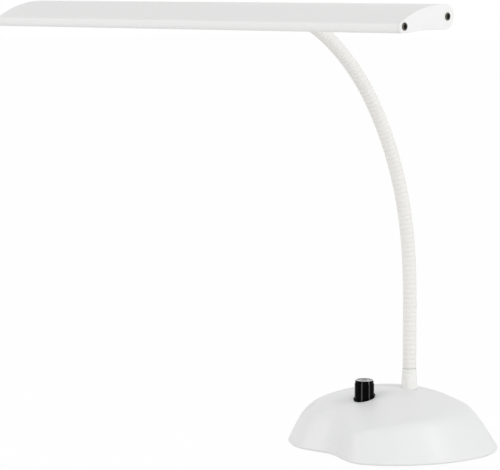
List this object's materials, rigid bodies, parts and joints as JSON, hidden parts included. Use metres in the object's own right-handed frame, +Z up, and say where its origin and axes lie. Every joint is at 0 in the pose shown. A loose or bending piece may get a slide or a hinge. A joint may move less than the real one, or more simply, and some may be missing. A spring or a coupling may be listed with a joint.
{
  "type": "desk lamp",
  "caption": "Desk lamp with a long slim light bar on a ribbed flexible neck, over a weighted, domed base with a rotary dimmer knob.",
  "frame": {"origin": "on the surface that the lamp stands on, under the axis of the neck's foot", "axes": "+X along the light bar, towards the side of the base without the dimmer's tail; +Z up; the neck leans towards -Y"},
  "size_m": [0.4536, 0.3335, 0.3952],
  "materials": {
    "white_abs": "satin moulded white ABS",
    "white_powder_coat": "white powder coat on extruded aluminium",
    "neck_sleeve": "satin white lacquer on ribbed steel hose",
    "white_collar": "satin moulded white plastic",
    "opal_diffuser": "opal extruded acrylic",
    "gloss_black": "gloss moulded black plastic",
    "silver_disc": "spun aluminium disc",
    "black_steel": "blackened steel screws",
    "zinc_steel": "zinc plated steel",
    "cast_iron": "bare cast iron",
    "black_rubber": "anti-slip foam rubber",
    "circuit_board": "green solder mask",
    "led_board_white": "white solder mask on aluminium strip",
    "black_plastic": "moulded black plastic",
    "lead_sheath": "PVC sheathed two-core lead"
  },
  "bodies": {
    "base": {"base_cover": "white_abs", "base_pad": "black_rubber", "base_plate": "zinc_steel", "ballast_weight": "cast_iron", "base_screw_1": "zinc_steel", "base_screw_2": "zinc_steel", "base_screw_3": "zinc_steel", "base_screw_4": "zinc_steel", "driver_board": "circuit_board", "board_screw_1": "zinc_steel", "board_screw_2": "zinc_steel", "power_inlet": "black_plastic", "power_inlet_nut": "zinc_steel", "inlet_lead": "lead_sheath", "dimmer_lead": "lead_sheath", "neck_lead": "lead_sheath", "neck_collar": "white_collar", "neck_pipe": "zinc_steel", "neck_washer": "zinc_steel", "neck_nut": "zinc_steel", "neck_foot": "neck_sleeve", "dimmer_body": "zinc_steel", "dimmer_washer": "zinc_steel", "dimmer_nut": "zinc_steel", "dimmer_bezel": "gloss_black"},
    "dimmer_knob": {"dimmer_shaft": "zinc_steel", "knob_body": "gloss_black", "knob_disc": "silver_disc"},
    "neck_1": {"neck_link_1": "neck_sleeve"},
    "neck_2": {"neck_link_2": "neck_sleeve"},
    "neck_3": {"neck_link_3": "neck_sleeve"},
    "neck_4": {"neck_link_4": "neck_sleeve"},
    "neck_5": {"neck_link_5": "neck_sleeve"},
    "neck_6": {"neck_link_6": "neck_sleeve"},
    "neck_7": {"neck_link_7": "neck_sleeve"},
    "neck_8": {"neck_link_8": "neck_sleeve"},
    "neck_9": {"neck_link_9": "neck_sleeve"},
    "head": {"neck_head_end": "neck_sleeve", "neck_ferrule": "white_powder_coat", "bar_saddle": "white_powder_coat", "inner_saddle": "zinc_steel", "ferrule_nut": "zinc_steel", "light_bar_housing": "white_powder_coat", "diffuser": "opal_diffuser", "led_board": "led_board_white", "bar_lead": "lead_sheath", "end_cap_left": "white_powder_coat", "end_cap_right": "white_powder_coat", "end_cap_screw_left_rear": "black_steel", "end_cap_screw_left_front": "black_steel", "end_cap_screw_right_rear": "black_steel", "end_cap_screw_right_front": "black_steel"}
  },
  "joints": [
    {"name": "neck_flex_1", "type": "hinge", "parent": "base", "child": "neck_1", "pos_m": [0, 0, 0.08077], "axis": [1, 0, 0], "range_deg": [-15, 13]},
    {"name": "neck_flex_2", "type": "hinge", "parent": "neck_1", "child": "neck_2", "pos_m": [0, 0, 0.12277], "axis": [1, 0, 0], "range_deg": [-15, 13]},
    {"name": "neck_flex_3", "type": "hinge", "parent": "neck_2", "child": "neck_3", "pos_m": [0, -0.00176, 0.16472], "axis": [0, 0.9965, 0.0839], "range_deg": [-15, 13]},
    {"name": "neck_flex_4", "type": "hinge", "parent": "neck_3", "child": "neck_4", "pos_m": [0, -0.00797, 0.20622], "axis": [1, 0, 0], "range_deg": [-15, 13]},
    {"name": "neck_flex_5", "type": "hinge", "parent": "neck_4", "child": "neck_5", "pos_m": [0, -0.0202, 0.24636], "axis": [1, 0, 0], "range_deg": [-15, 13]},
    {"name": "neck_flex_6", "type": "hinge", "parent": "neck_5", "child": "neck_6", "pos_m": [0, -0.03822, 0.28426], "axis": [0, 0.8688, 0.4951], "range_deg": [-15, 13]},
    {"name": "neck_flex_7", "type": "hinge", "parent": "neck_6", "child": "neck_7", "pos_m": [0, -0.06175, 0.31899], "axis": [1, 0, 0], "range_deg": [-15, 13]},
    {"name": "neck_flex_8", "type": "hinge", "parent": "neck_7", "child": "neck_8", "pos_m": [0, -0.09124, 0.34881], "axis": [1, 0, 0], "range_deg": [-15, 13]},
    {"name": "neck_flex_9", "type": "hinge", "parent": "neck_8", "child": "neck_9", "pos_m": [0, -0.12603, 0.37217], "axis": [0, 0.4429, 0.8966], "range_deg": [-15, 13]},
    {"name": "neck_flex_10", "type": "hinge", "parent": "neck_9", "child": "head", "pos_m": [0, -0.16608, 0.38416], "axis": [1, 0, 0], "range_deg": [-15, 13]},
    {"name": "knob_turn", "type": "hinge", "parent": "base", "child": "dimmer_knob", "pos_m": [-0.014, -0.045, 0.05], "axis": [0, 0, 1], "range_deg": [-300, 0]}
  ]
}
